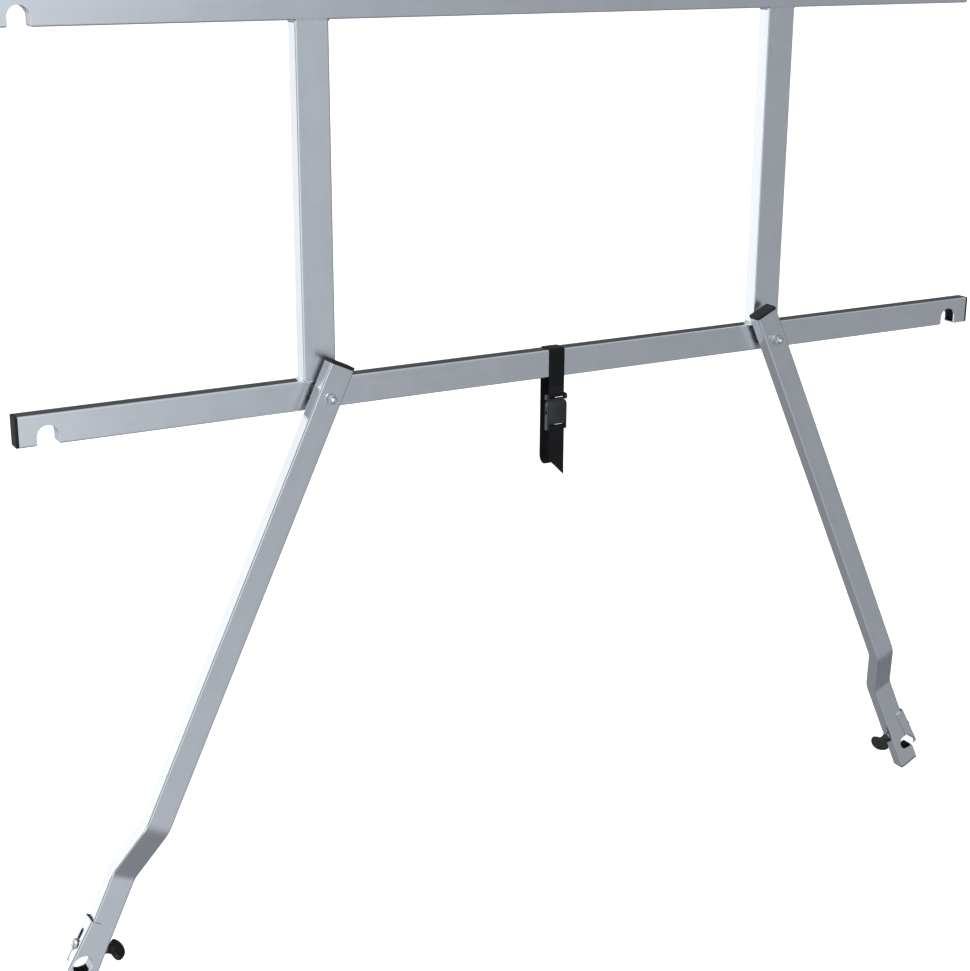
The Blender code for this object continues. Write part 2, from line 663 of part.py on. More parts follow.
def buckle_socket():
    shoulder = SOCKET_TOP - 0.009
    half, mouth, r = SOCKET_HALF, SOCKET_MOUTH_HALF, 0.003
    edge = arc((half - r, SOCKET_BOTTOM + r), r, 270, 360, 4) + [(half, shoulder)]
    edge += [(half - 0.0008, shoulder + 0.0035), (mouth, SOCKET_TOP)]
    outline = edge + [(-x, z) for x, z in reversed(edge)]
    mesh = prism_mesh("buckle_socket", (outline,), BUCKLE_THICK)
    obj = place("buckle_socket", mesh, "buckle_plastic", at=(STRAP_X, BUCKLE_Y, 0),
                turn=along_y())
    bevel(obj, 0.0009, 2, angle=60)
    cavity = box_mesh("socket_cavity", (2 * SOCKET_CAVITY_HALF, SOCKET_CAVITY_THICK,
                                        SOCKET_CAVITY_DEPTH + 0.004))
    boolean(obj, place("socket_cavity", cavity, at=(
        STRAP_X, BUCKLE_Y, SOCKET_TOP - SOCKET_CAVITY_DEPTH / 2 + 0.002)))
    window = box_mesh("socket_windows", (0.06, SOCKET_CAVITY_THICK, WINDOW_TOP - WINDOW_END))
    boolean(obj, place("socket_windows", window, at=(
        STRAP_X, BUCKLE_Y, (WINDOW_TOP + WINDOW_END) / 2)))
    ladder = box_mesh("socket_ladder", (2 * PLUG_SLOT_HALF, 0.02, LADDER_TOP - SOCKET_BOTTOM + 0.01))
    boolean(obj, place("socket_ladder", ladder, at=(
        STRAP_X, BUCKLE_Y, (LADDER_TOP + SOCKET_BOTTOM - 0.01) / 2)))
    bar = cylinder_mesh("ladder_bar", LADDER_BAR_RADIUS, 2 * PLUG_SLOT_HALF + 0.004, "X")
    boolean(obj, place("ladder_bar", bar, at=(STRAP_X, BUCKLE_Y, LADDER_BAR_Z)), "UNION")


def buckle_plug():
    """The upper half: a bar for the strap, a shoulder and the middle tongue."""
    half, low = PLUG_HALF, SOCKET_TOP + GAP
    outline = arc((half - 0.003, PLUG_TOP - 0.003), 0.003, 0, 90, 4)
    outline += [(-x, z) for x, z in reversed(outline)]
    outline += [(-half, low + 0.002), (-half + 0.0025, low), (half - 0.0025, low),
                (half, low + 0.002)]
    mesh = prism_mesh("buckle_plug", (outline,), PLUG_THICK)
    obj = place("buckle_plug", mesh, "buckle_plastic", at=(STRAP_X, BUCKLE_Y, 0), turn=along_y())
    bevel(obj, 0.0007, 2, angle=60)
    slot = box_mesh("plug_slot", (2 * PLUG_SLOT_HALF, 0.02, PLUG_TOP - PLUG_SLOT_END + 0.01))
    boolean(obj, place("plug_slot", slot, at=(
        STRAP_X, BUCKLE_Y, (PLUG_TOP + PLUG_SLOT_END + 0.01) / 2)))
    bar = cylinder_mesh("plug_bar", PLUG_BAR_RADIUS, 2 * PLUG_SLOT_HALF + 0.004, "X")
    boolean(obj, place("plug_bar", bar, at=(STRAP_X, PLUG_BAR_Y, PLUG_BAR_Z)), "UNION")
    tongue = box_mesh("plug_tongue", (2 * TONGUE_HALF, PRONG_THICK, TONGUE_LENGTH + 0.001))
    boolean(obj, place("plug_tongue", tongue, at=(
        STRAP_X, BUCKLE_Y, low - TONGUE_LENGTH / 2 + 0.0005)), "UNION")


def release_prongs():
    """The two side arms of the plug, each turning about its root."""
    for side, word in ((-1, "left"), (1, "right")):
        root = empty(f"{word}_prong_root", (
            STRAP_X + side * (PRONG_IN + PRONG_OUT) / 2, BUCKLE_Y, PRONG_ROOT_Z))
        shift = (PRONG_IN + PRONG_OUT) / 2
        tab = PRONG_TAB_OUT - shift
        arm = (PRONG_OUT - PRONG_IN) / 2
        outline = [(-arm, 0), (-arm, -PRONG_LENGTH + 0.001), (-arm + 0.001, -PRONG_LENGTH),
                   (arm, -PRONG_LENGTH), (tab, -PRONG_LENGTH + 0.004), (tab, -0.0105),
                   (arm, -0.0085), (arm, 0)]
        points = [(side * x, z) for x, z in outline]
        name = f"{word}_release_prong"
        obj = place(name, prism_mesh(name, (points,), PRONG_THICK), "buckle_plastic",
                    turn=along_y(), parent=root)
        bevel(obj, 0.0004, 1, angle=50)


def keep_flats_flat():
    """Weight every part's normals by face area, so that rounded edges do not shade the flats."""
    for obj in PARTS.objects:
        if obj.type == "MESH":
            mod = obj.modifiers.new("Normals", "WEIGHTED_NORMAL")
            mod.keep_sharp = True


# ---------------------------------------------------------------- build

PARTS, CUTTERS = reset_scene()
build_frame()
for leg_side, leg_word in ((-1, "left"), (1, "right")):
    pivot_stack(leg_side, leg_word)
    leg(leg_side, leg_word)
strap()
buckle_socket()
buckle_plug()
release_prongs()
keep_flats_flat()
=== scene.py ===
import json
import math

import bmesh
import bpy
from mathutils import Matrix, Vector, noise

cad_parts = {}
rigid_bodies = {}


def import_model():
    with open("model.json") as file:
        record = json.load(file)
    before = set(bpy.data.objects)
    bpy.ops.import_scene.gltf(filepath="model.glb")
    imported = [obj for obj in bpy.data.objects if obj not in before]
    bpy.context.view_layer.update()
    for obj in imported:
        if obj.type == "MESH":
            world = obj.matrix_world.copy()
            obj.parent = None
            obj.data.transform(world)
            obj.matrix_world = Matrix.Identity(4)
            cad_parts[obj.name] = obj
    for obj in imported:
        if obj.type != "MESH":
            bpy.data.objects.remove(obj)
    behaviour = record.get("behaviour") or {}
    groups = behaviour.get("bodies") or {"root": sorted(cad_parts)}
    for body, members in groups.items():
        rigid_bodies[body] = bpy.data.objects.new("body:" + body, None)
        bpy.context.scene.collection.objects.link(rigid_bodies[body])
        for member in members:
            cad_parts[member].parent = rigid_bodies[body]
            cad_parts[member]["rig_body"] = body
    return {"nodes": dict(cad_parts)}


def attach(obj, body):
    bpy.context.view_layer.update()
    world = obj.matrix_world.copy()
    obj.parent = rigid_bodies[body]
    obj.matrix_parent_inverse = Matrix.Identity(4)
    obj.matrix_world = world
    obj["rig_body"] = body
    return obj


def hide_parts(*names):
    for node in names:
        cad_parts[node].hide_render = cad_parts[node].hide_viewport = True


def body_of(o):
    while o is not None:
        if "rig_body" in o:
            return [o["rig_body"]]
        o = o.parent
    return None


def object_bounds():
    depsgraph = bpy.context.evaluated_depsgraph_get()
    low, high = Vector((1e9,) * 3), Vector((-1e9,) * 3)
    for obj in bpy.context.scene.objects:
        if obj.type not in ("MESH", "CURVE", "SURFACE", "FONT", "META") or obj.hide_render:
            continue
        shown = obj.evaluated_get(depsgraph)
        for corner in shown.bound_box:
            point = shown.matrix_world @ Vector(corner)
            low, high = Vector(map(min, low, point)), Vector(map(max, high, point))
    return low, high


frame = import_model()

CAD_BOX = [list(map(float, p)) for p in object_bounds()]
NODES = frame["nodes"]
SCENE = bpy.context.scene
SIDES = ((-1, "left"), (1, "right"))

# Dimensions repeated from the model, in metres: X to the right, Y to the back, Z up, and the origin
# midway between the lower rail's notches
RAIL_TOP = 0.032
RAIL_BOTTOM = -0.013
RAIL_DEPTH = 0.025
RAIL_WALL = 0.0022
RAIL_SPACING = 0.560
UPRIGHT_X = 0.410
UPRIGHT_WIDTH = 0.052
NOTCH_X = 0.820
NOTCH_RADIUS = 0.0155
PIVOT = Vector((0.409, 0.0, 0.0095))
SPLAY = math.radians(25.15)
LEG_WIDTH = 0.040
LEG_FRONT = 0.0455        # how far a leg's front face is ahead of the rail's middle
FOOT_Y = 0.015            # the middle of a leg's depth at its lower end
CLAMP_DOWN = 0.920        # along the leg, from its pivot to the clamp bolt
CLAW_OUT, CLAW_DOWN = 0.0095, 0.9475      # across and along the leg, from its pivot to the claw
STRAP_X = -0.0012
BUCKLE_Y = -0.0125
GAP = 0.0003              # between neighbouring solids


# ---------------------------------------------------------------- camera

def make_camera():
    azimuth, elevation, roll = (math.radians(a) for a in (-29.14424, 17.64105, 0.28625))
    place = Vector((-1.46386, -2.40421, 0.69566))
    back = Vector((math.sin(azimuth) * math.cos(elevation),
                   -math.cos(azimuth) * math.cos(elevation), math.sin(elevation)))
    level = Vector((0, 0, 1)).cross(back).normalized()
    upright = back.cross(level)
    right = math.cos(roll) * level + math.sin(roll) * upright
    up = -math.sin(roll) * level + math.cos(roll) * upright
    data = bpy.data.cameras.new("camera")
    data.sensor_width = 36
    data.sensor_fit = "HORIZONTAL"
    data.lens = 67.327
    data.clip_start = 0.05
    data.clip_end = 60
    cam = bpy.data.objects.new("camera", data)
    cam.matrix_world = Matrix(((right.x, up.x, back.x, place.x), (right.y, up.y, back.y, place.y),
                               (right.z, up.z, back.z, place.z), (0, 0, 0, 1)))
    SCENE.collection.objects.link(cam)
    SCENE.camera = cam
    SCENE.view_settings.view_transform = "Standard"
    SCENE.view_settings.look = "None"
    SCENE.view_settings.exposure = 0
    SCENE.view_settings.gamma = 1


# ---------------------------------------------------------------- node helper

class Graph:
    """A node tree with short calls; a number, a tuple or an output may feed any input."""

    def __init__(self, tree):
        self.tree = tree
        tree.nodes.clear()

    def add(self, kind, settings=None, **inputs):
        node = self.tree.nodes.new("ShaderNode" + kind)
        for key, value in (settings or {}).items():
            setattr(node, key, value)
        for key, value in inputs.items():
            self.feed(node, key, value)
        return node

    def feed(self, node, key, value):
        """Sets or links an input, called by its name or, as in i0 and i1, by its number."""
        if key.startswith("i") and key[1:].isdigit():
            socket = node.inputs[int(key[1:])]
        else:
            socket = node.inputs[key.replace("_", " ")]
        if isinstance(value, bpy.types.Node):
            value = value.outputs[0]
        if isinstance(value, bpy.types.NodeSocket):
            self.tree.links.new(value, socket)
        else:
            socket.default_value = value

    def math(self, operation, a, b=0.0, c=0.0):
        node = self.add("Math", {"operation": operation}, i0=a, i1=b)
        if operation == "MULTIPLY_ADD":
            self.feed(node, "i2", c)
        return node.outputs[0]

    def vector(self, operation, a, b=(0, 0, 0)):
        node = self.add("VectorMath", {"operation": operation}, i0=a, i1=b)
        return node.outputs["Value"] if operation == "DOT_PRODUCT" else node.outputs["Vector"]

    def span(self, value, low, high, to_low=0.0, to_high=1.0):
        """A smooth step from to_low to to_high as the value goes from low to high."""
        return self.add("MapRange", {"interpolation_type": "SMOOTHSTEP"}, i0=value, i1=low, i2=high,
                        i3=to_low, i4=to_high).outputs[0]

    def mix(self, factor, a, b):
        node = self.add("Mix", {"data_type": "RGBA"}, i0=factor)
        self.feed(node, "i6", a)
        self.feed(node, "i7", b)
        return node.outputs[2]

    def noise(self, vector, scale, detail=2.0, rough=0.5, distortion=0.0):
        return self.add("TexNoise", Vector=vector, Scale=scale, Detail=detail, Roughness=rough,
                        Distortion=distortion).outputs["Fac"]

    def mapped(self, vector, scale=(1, 1, 1), turn=(0, 0, 0)):
        return self.add("Mapping", i0=vector, i2=turn, i3=scale).outputs[0]


# ---------------------------------------------------------------- stage and light

UNLIT = (0.55, 0.57, 0.61, 1)         # the surround where no patch reaches
BACKDROP = (1.5, 1.5, 1.5, 1)
ENVIRONMENT = (
    # Soft patches of the surround, each laid over the ones before it: the direction of its middle,
    # its height stretch (below 1 for a tall patch), its radiance, and the cosines where it starts
    # to fade in and where it is full.
    # pale: the left, high at the back, and a tall bright strip at the front left
    ((-0.95, 0.31, 0.10), 1.0, (1.24, 1.26, 1.29), 0.20, 0.85),
    ((-0.35, 0.60, 0.75), 1.0, (1.00, 1.02, 1.05), 0.60, 0.95),
    ((-0.87, -0.50, 0.0), 0.35, (1.90, 1.92, 1.95), 0.88, 0.98),
    # a tall dark strip on the far left
    ((-0.995, 0.08, 0.0), 0.30, (0.14, 0.15, 0.16), 0.93, 0.98),
    # the front: pale, with a tall dark strip towards its left
    ((-0.20, -0.95, 0.20), 1.0, (1.11, 1.18, 1.245), 0.585, 0.97),
    ((-0.52, -0.85, 0.00), 0.5, (0.40, 0.42, 0.45), 0.90, 0.97),
    # dim: the front right, underneath, and a tall dark strip on the right
    ((0.80, -0.58, -0.10), 1.0, (0.345, 0.36, 0.388), 0.62, 0.95),
    ((-0.15, 0.10, -1.00), 1.0, (0.28, 0.29, 0.315), 0.40, 0.85),
    ((0.99, 0.10, 0.00), 0.5, (0.06, 0.065, 0.07), 0.87, 0.96),
    # darker: underneath to the right, low at the back, and at the back on the right
    ((0.50, -0.10, -0.88), 1.0, (0.18, 0.19, 0.21), 0.80, 0.985),
    ((0.12, 0.75, -0.65), 1.0, (0.265, 0.275, 0.295), 0.80, 0.97),
    ((0.46, 0.80, 0.40), 1.0, (0.080, 0.083, 0.087), 0.66, 0.88),
)


def make_world():
    """The surround that lights the object; the camera sees a plain white backdrop instead."""
    world = bpy.data.worlds.new("studio")
    SCENE.world = world
    world.use_nodes = True
    g = Graph(world.node_tree)
    way = g.add("TexCoord").outputs["Generated"]
    color = UNLIT
    for direction, stretch, radiance, edge, centre in ENVIRONMENT:
        unit = tuple((Vector(direction) * Vector((1, 1, stretch))).normalized())
        flat = g.vector("NORMALIZE", g.vector("MULTIPLY", way, (1, 1, stretch)))
        near = g.span(g.vector("DOT_PRODUCT", flat, unit), edge, centre)
        color = g.mix(near, color, (*radiance, 1))
    seen = g.add("LightPath").outputs["Is Camera Ray"]
    color = g.mix(seen, color, BACKDROP)
    shade = g.add("Background", Color=color, Strength=1.0)
    g.add("OutputWorld", Surface=shade)


def make_lamp():
    place, target = Vector((-2.4, -1.6, 3.2)), Vector((0, 0, -0.2))
    data = bpy.data.lights.new("key", "AREA")
    data.shape = "RECTANGLE"
    data.size = 2.2
    data.size_y = 2.2
    data.energy = 60
    lamp = bpy.data.objects.new("key", data)
    lamp.location = place
    lamp.rotation_euler = (target - place).to_track_quat("-Z", "Y").to_euler()
    SCENE.collection.objects.link(lamp)


def make_floor():
    """A pale floor that the camera sees; it sends no light back to the object."""
    low = min(p[2] for p in CAD_BOX)
    bpy.ops.mesh.primitive_grid_add(x_subdivisions=8, y_subdivisions=8, size=80,
                                    location=(0, 0, low - 0.0005))
    floor = bpy.context.object
    floor.name = "studio_floor"
    mat, g = new_material("studio_floor")
    seen = g.add("LightPath").outputs["Is Camera Ray"]
    pale = g.add("BsdfDiffuse", Color=(0.80, 0.80, 0.80, 1))
    lift = g.add("Emission", Color=(1, 1, 1, 1), Strength=0.72)
    sheet = g.add("AddShader", i0=pale, i1=lift)
    clear = g.add("BsdfTransparent")
    both = g.add("MixShader", Fac=seen, i1=clear, i2=sheet)
    g.add("OutputMaterial", Surface=both)
    floor.data.materials.append(mat)


# ---------------------------------------------------------------- materials

WEB_RIB = 0.00175         # the pitch of the webbing's lengthwise ribs


def new_material(name):
    mat = bpy.data.materials.new(name)
    mat.use_nodes = True
    return mat, Graph(mat.node_tree)


def finish_material(g, settings, **inputs):
    shader = g.add("BsdfPrincipled")
    for key, value in {**settings, **inputs}.items():
        g.feed(shader, key, value)
    g.add("OutputMaterial", Surface=shader)


def scaled(color, factor):
    return (*[c * factor for c in color], 1)


def drawn(along, slow, fast):
    """A noise scale that is slow along one axis and fast along the others."""
    return tuple(slow if axis == along else fast for axis in "XYZ")


def aluminium(name, along, turn=(0, 0, 0), rough=0.185, tint=(0.80, 0.82, 0.845)):
    """Mill-finish extrusion: die lines along the bar, soft blotches and a few handling marks."""
    mat, g = new_material(name)
    p = g.mapped(g.add("TexCoord").outputs["Object"], turn=turn)
    lines = g.noise(g.mapped(p, scale=drawn(along, 1.6, 620)), 1.0, 3.0, 0.6)
    bands = g.noise(g.mapped(p, scale=drawn(along, 0.9, 120)), 1.0, 1.0, 0.5)
    cloud = g.noise(p, 22.0, 3.0, 0.55, 0.4)
    fine = g.noise(p, 900.0, 2.0, 0.6)
    marks = g.noise(g.mapped(p, scale=(70, 70, 600), turn=(0.5, 0.9, 0.3)), 1.0, 2.0, 0.6, 0.6)
    marks = g.span(marks, 0.70, 0.76)
    scuffs = g.noise(g.mapped(p, scale=(500, 160, 26), turn=(1.1, 0.4, 0.8)), 1.0, 2.0, 0.6, 0.3)
    scuffs = g.span(scuffs, 0.71, 0.78)
    base = g.mix(g.span(cloud, 0.3, 0.7), scaled(tint, 0.965), scaled(tint, 1.0))
    base = g.mix(g.math("MULTIPLY", marks, 0.04), base, (0.62, 0.64, 0.66, 1))
    base = g.mix(g.span(bands, 0.35, 0.65, 0.0, 0.35), base, scaled(tint, 1.035))
    roughness = g.math("MULTIPLY_ADD", g.math("SUBTRACT", cloud, 0.5), 0.06, rough)
    roughness = g.math("MULTIPLY_ADD", g.math("SUBTRACT", lines, 0.5), 0.05, roughness)
    roughness = g.math("MULTIPLY_ADD", g.math("ADD", marks, scuffs), 0.04, roughness)
    height = g.math("MULTIPLY_ADD", lines, 0.75, g.math("MULTIPLY", fine, 0.15))
    height = g.math("SUBTRACT", height, g.math("MULTIPLY", marks, 0.10))
    height = g.math("SUBTRACT", height, g.math("MULTIPLY", scuffs, 0.07))
    bump = g.add("Bump", Strength=0.022, Distance=0.0002, Height=height)
    finish_material(g, {"Metallic": 1.0}, Base_Color=base, Roughness=roughness, Normal=bump)
    return mat


def zinc_steel(name, tone):
    """Zinc plate: cool and a little cloudy; a tone below 1 makes a darker copy, which paints shade."""
    mat, g = new_material(name)
    p = g.add("TexCoord").outputs["Object"]
    cloud = g.noise(p, 160.0, 3.0, 0.6, 0.5)
    fine = g.noise(p, 2200.0, 2.0, 0.7)
    base = g.mix(g.span(cloud, 0.3, 0.7), scaled((0.60, 0.615, 0.64), tone),
                 scaled((0.685, 0.70, 0.72), tone))
    roughness = g.math("MULTIPLY_ADD", cloud, 0.16, 0.20)
    bump = g.add("Bump", Strength=0.12, Distance=0.0001, Height=fine)
    finish_material(g, {"Metallic": 1.0}, Base_Color=base, Roughness=roughness, Normal=bump)
    return mat


def moulded(name, color, rough, level=0.5):
    """Moulded plastic with a fine spark-eroded texture, faint flow marks and rubbed patches."""
    mat, g = new_material(name)
    p = g.add("TexCoord").outputs["Object"]
    grain = 1400.0
    grit = g.noise(p, grain, 2.0, 0.65)
    pits = g.add("TexVoronoi", {"feature": "SMOOTH_F1"}, Vector=p, Scale=grain * 0.8)
    flow = g.noise(g.mapped(p, scale=(60, 60, 170), turn=(0.4, 0.2, 0.1)), 1.0, 3.0, 0.6, 0.8)
    rub = g.span(g.noise(p, 90.0, 4.0, 0.65), 0.52, 0.72)
    worn = (*[c * 1.9 + 0.006 for c in color], 1)
    base = g.mix(g.span(flow, 0.3, 0.7), scaled(color, 0.86), scaled(color, 1.14))
    base = g.mix(g.math("MULTIPLY", rub, 0.25), base, worn)
    roughness = g.math("MULTIPLY_ADD", g.math("SUBTRACT", flow, 0.5), 0.10, rough)
    roughness = g.math("MULTIPLY_ADD", rub, -0.07, roughness)
    height = g.math("MULTIPLY_ADD", pits.outputs["Distance"], 0.6, grit)
    bump = g.add("Bump", Strength=0.55, Distance=0.00006, Height=height)
    settings = {"IOR": 1.5, "Specular_IOR_Level": level}
    finish_material(g, settings, Base_Color=base, Roughness=roughness, Normal=bump)
    return mat


def webbing():
    """Polyester webbing; its UVs run across and along the strap, in metres."""
    mat, g = new_material("webbing")
    uv = g.add("UVMap", {"uv_map": "strap"}).outputs[0]
    parts = g.add("SeparateXYZ", Vector=uv)
    across, along = parts.outputs[0], parts.outputs[1]
    rib = g.math("SINE", g.math("MULTIPLY", across, 2 * math.pi / WEB_RIB))
    pick = g.math("SINE", g.math("MULTIPLY", along, 2 * math.pi / 0.0011))
    twill = g.math("SINE", g.math("MULTIPLY_ADD", across, math.pi / WEB_RIB,
                                  g.math("MULTIPLY", along, 2 * math.pi / 0.0014)))
    weave = g.math("MULTIPLY", g.math("MULTIPLY_ADD", rib, 0.5, 0.5),
                   g.math("MULTIPLY_ADD", pick, 0.35, 0.65))
    weave = g.math("MULTIPLY_ADD", twill, 0.18, weave)
    fibre = g.noise(g.mapped(uv, scale=(5200, 700, 1)), 1.0, 3.0, 0.7)
    fade = g.noise(g.mapped(uv, scale=(60, 26, 1)), 1.0, 3.0, 0.6)
    base = g.mix(g.span(weave, 0.05, 0.95), (0.0020, 0.0022, 0.0026, 1),
                 (0.0065, 0.0072, 0.0082, 1))
    base = g.mix(g.span(fade, 0.45, 0.75, 0, 0.30), base, (0.010, 0.011, 0.0125, 1))
    base = g.mix(g.span(fibre, 0.62, 0.78, 0, 0.35), base, (0.022, 0.0235, 0.026, 1))
    height = g.math("MULTIPLY_ADD", fibre, 0.35, weave)
    bump = g.add("Bump", Strength=0.75, Distance=0.00022, Height=height)
    roughness = g.math("MULTIPLY_ADD", g.math("SUBTRACT", fibre, 0.5), 0.15, 0.72)
    settings = {"Sheen_Weight": 0.08, "Sheen_Roughness": 0.45, "Specular_IOR_Level": 0.20}
    finish_material(g, settings, Base_Color=base, Roughness=roughness, Normal=bump)
    return mat


def stitch_thread():
    mat, g = new_material("stitch_thread")
    p = g.add("TexCoord").outputs["Object"]
    twist = g.noise(g.mapped(p, scale=(2600, 2600, 900), turn=(0.3, 0.2, 0.6)), 1.0, 2.0, 0.5)
    base = g.mix(twist, (0.003, 0.0033, 0.0036, 1), (0.011, 0.012, 0.013, 1))
    bump = g.add("Bump", Strength=0.6, Distance=0.0001, Height=twist)
    roughness = g.math("MULTIPLY_ADD", twist, 0.2, 0.45)
    finish_material(g, {"Sheen_Weight": 0.2}, Base_Color=base, Roughness=roughness, Normal=bump)
    return mat


def weld_metal():
    mat, g = new_material("weld_metal")
    p = g.add("TexCoord").outputs["Object"]
    cloud = g.noise(p, 420.0, 3.0, 0.6, 0.3)
    fine = g.noise(p, 2600.0, 2.0, 0.6)
    base = g.mix(g.span(cloud, 0.3, 0.7), (0.52, 0.54, 0.565, 1), (0.74, 0.755, 0.78, 1))
    roughness = g.math("MULTIPLY_ADD", cloud, 0.22, 0.24)
    bump = g.add("Bump", Strength=0.3, Distance=0.0001, Height=fine)
    finish_material(g, {"Metallic": 1.0}, Base_Color=base, Roughness=roughness, Normal=bump)
    return mat


def make_materials():
    return {"rail": aluminium("aluminium_rail", "X", rough=0.22),
            "upright": aluminium("aluminium_upright", "Z", rough=0.29),
            "left_leg": aluminium("aluminium_left_leg", "Z", (0, -SPLAY, 0)),
            "right_leg": aluminium("aluminium_right_leg", "Z", (0, SPLAY, 0)),
            "cut": aluminium("aluminium_cut", "Y", rough=0.42, tint=(0.56, 0.57, 0.60)),
            "weld": weld_metal(),
            "zinc": zinc_steel("zinc_steel", 1.0),
            # the knob washers' zinc: the same plate at under half the brightness, painted shade for
            # where the knob shades them
            "shaded_zinc": zinc_steel("zinc_painted_shade", 0.45),
            "cap": moulded("cap_plastic", (0.026, 0.0265, 0.029), 0.60, level=0.06),
            "knob": moulded("knob_plastic", (0.0085, 0.0092, 0.0100), 0.38, level=0.36),
            "buckle": moulded("buckle_plastic", (0.017, 0.018, 0.019), 0.33),
            "nylon": moulded("nylon", (0.020, 0.021, 0.022), 0.45),
            "strap": webbing(),
            "thread": stitch_thread()}


# The end of a CAD node's name, and its material; the first row that fits is used
NODE_FINISHES = (
    (("upper_rail", "lower_rail"), "rail"),
    (("_upright",), "upright"),
    (("left_leg", "left_jaw"), "left_leg"),
    (("right_leg", "right_jaw"), "right_leg"),
    (("_cap", "_foot_plug"), "cap"),
    (("_thumb_knob",), "knob"),
    (("buckle_plug", "buckle_socket", "_prong"), "buckle"),
    (("strap_front_strand", "strap_loop"), "strap"),
    (("_spacer",), "nylon"),
    # the washers under the knobs take the darker zinc copy, which paints their shade
    (("_knob_washer",), "shaded_zinc"),
    (("",), "zinc"),
)


def dress_nodes():
    for name, obj in NODES.items():
        finish = next(finish for ends, finish in NODE_FINISHES if name.endswith(ends))
        if not obj.data.materials:
            obj.data.materials.append(None)
        for i in range(len(obj.data.materials)):
            obj.data.materials[i] = MATERIALS[finish]


# ---------------------------------------------------------------- mesh helpers

def world_from_pivot(side):
    """A leg's own frame: local X across the leg, local Z up along it, origin at its pivot."""
    place = Vector((side * PIVOT.x, PIVOT.y, PIVOT.z))
    return Matrix.Translation(place) @ Matrix.Rotation(-side * SPLAY, 4, "Y")


def mesh_from(name, verts, faces):
    mesh = bpy.data.meshes.new(name)
    mesh.from_pydata([tuple(v) for v in verts], [], [tuple(f) for f in faces])
    return mesh


def clean(mesh, smooth_angle=None):
    """Joins doubled points and turns the faces outward; an angle also sets where it is smooth."""
    bm = bmesh.new()
    bm.from_mesh(mesh)
    bmesh.ops.remove_doubles(bm, verts=bm.verts, dist=1e-7)
    bmesh.ops.recalc_face_normals(bm, faces=bm.faces)
    if smooth_angle is not None:
        limit = math.radians(smooth_angle)
        for face in bm.faces:
            face.smooth = True
        for edge in bm.edges:
            edge.smooth = len(edge.link_faces) == 2 and edge.calc_face_angle(0) < limit
    bm.to_mesh(mesh)
    bm.free()


def linked(name, mesh):
    obj = bpy.data.objects.new(name, mesh)
    SCENE.collection.objects.link(obj)
    return obj


def settle(name, mesh, mat, body, smooth_angle, replaces):
    """A piece from a mesh, riding on a body."""
    clean(mesh, smooth_angle)
    obj = linked(name, mesh)
    mesh.materials.clear()
    mesh.materials.append(MATERIALS[mat])
    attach(obj, body)
    if replaces:
        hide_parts(*replaces)
    return obj


def build(name, verts, faces, mat, body, slot, matrix=None, smooth_angle=35, replaces=()):
    """A piece from points and faces, riding on a body."""
    mesh = mesh_from(name, verts, faces)
    if matrix is not None:
        mesh.transform(matrix)
    return settle(name, mesh, mat, body, smooth_angle, replaces)


def arc(center, radius, start, end, steps):
    """Points round an arc, its angles in degrees."""
    found = []
    for i in range(steps + 1):
        a = math.radians(start + (end - start) * i / steps)
        found.append((center[0] + radius * math.cos(a), center[1] + radius * math.sin(a)))
    return found


def skin(rings, caps=True):
    """Faces over closed rings that each have the same number of points."""
    verts, faces = [], []
    count = len(rings[0])
    for ring in rings:
        verts += ring
    for i in range(len(rings) - 1):
        for k in range(count):
            a, b = i * count + k, i * count + (k + 1) % count
            faces.append((a, b, b + count, a + count))
    if caps:
        faces.append(tuple(reversed(range(count))))
        faces.append(tuple((len(rings) - 1) * count + k for k in range(count)))
    return verts, faces


def merged(parts):
    """Several (points, faces) as one."""
    verts, faces = [], []
    for v, f in parts:
        base = len(verts)
        verts += list(v)
        faces += [tuple(i + base for i in face) for face in f]
    return verts, faces


def capsule(a, b, radius):
    """A rounded rod between two points."""
    a, b = Vector(a), Vector(b)
    axis = (b - a).normalized()
    u = axis.orthogonal().normalized()
    v = axis.cross(u)
    stops = ((-0.98, 0.2), (-0.7, 0.71), (0, 1))      # along and across, as shares of the radius
    rings = [(a + axis * k * radius, r) for k, r in stops]
    rings += [(b - axis * k * radius, r) for k, r in reversed(stops)]
    around = 8
    found = []
    for centre, r in rings:
        ring = []
        for i in range(around):
            t = 2 * math.pi * i / around
            ring.append(centre + (u * math.cos(t) + v * math.sin(t)) * radius * r)
        found.append(ring)
    return skin(found)


def bevelled_panel(outline, low, high, inset):
    """A raised panel: outline points (x, z) on plane y = low, its top face inset at y = high."""
    cx = sum(p[0] for p in outline) / len(outline)
    cz = sum(p[1] for p in outline) / len(outline)
    rings = []
    for depth, shrink in ((low, 0.0), (low + 0.7 * (high - low), 0.15), (high, 1.0)):
        ring = []
        for x, z in outline:
            d = Vector((x - cx, z - cz))
            d *= max(0.0, 1 - inset * shrink / max(d.length, 1e-6))
            ring.append(Vector((cx + d.x, depth, cz + d.y)))
        rings.append(ring)
    return skin(rings)


def rounded_box(x0, x1, z0, z1, r):
    steps = 4
    return (arc((x1 - r, z1 - r), r, 0, 90, steps) + arc((x0 + r, z1 - r), r, 90, 180, steps)
            + arc((x0 + r, z0 + r), r, 180, 270, steps) + arc((x1 - r, z0 + r), r, 270, 360, steps))


# ---------------------------------------------------------------- strap

STRAP_WIDTH = 0.028
STRAP_THICK = 0.0015
STRAP_OUT = 0.01355       # from the rail's middle to the strap's middle
STRAP_TOP = 0.03305
TOP_BEND = 0.00365        # the radius at each edge of the rail's top
LOOP_BOTTOM = -0.1470
TAIL_TOP = -0.1400        # the tail's rings lean from here to its slanting end
TAIL_LEFT, TAIL_RIGHT = -0.1484, -0.1764
PLUG_BAR, PLUG_BEND = (-0.0110, -0.0435), 0.00255
LADDER_BAR, LADDER_BEND = (-0.0125, -0.0955), 0.00305


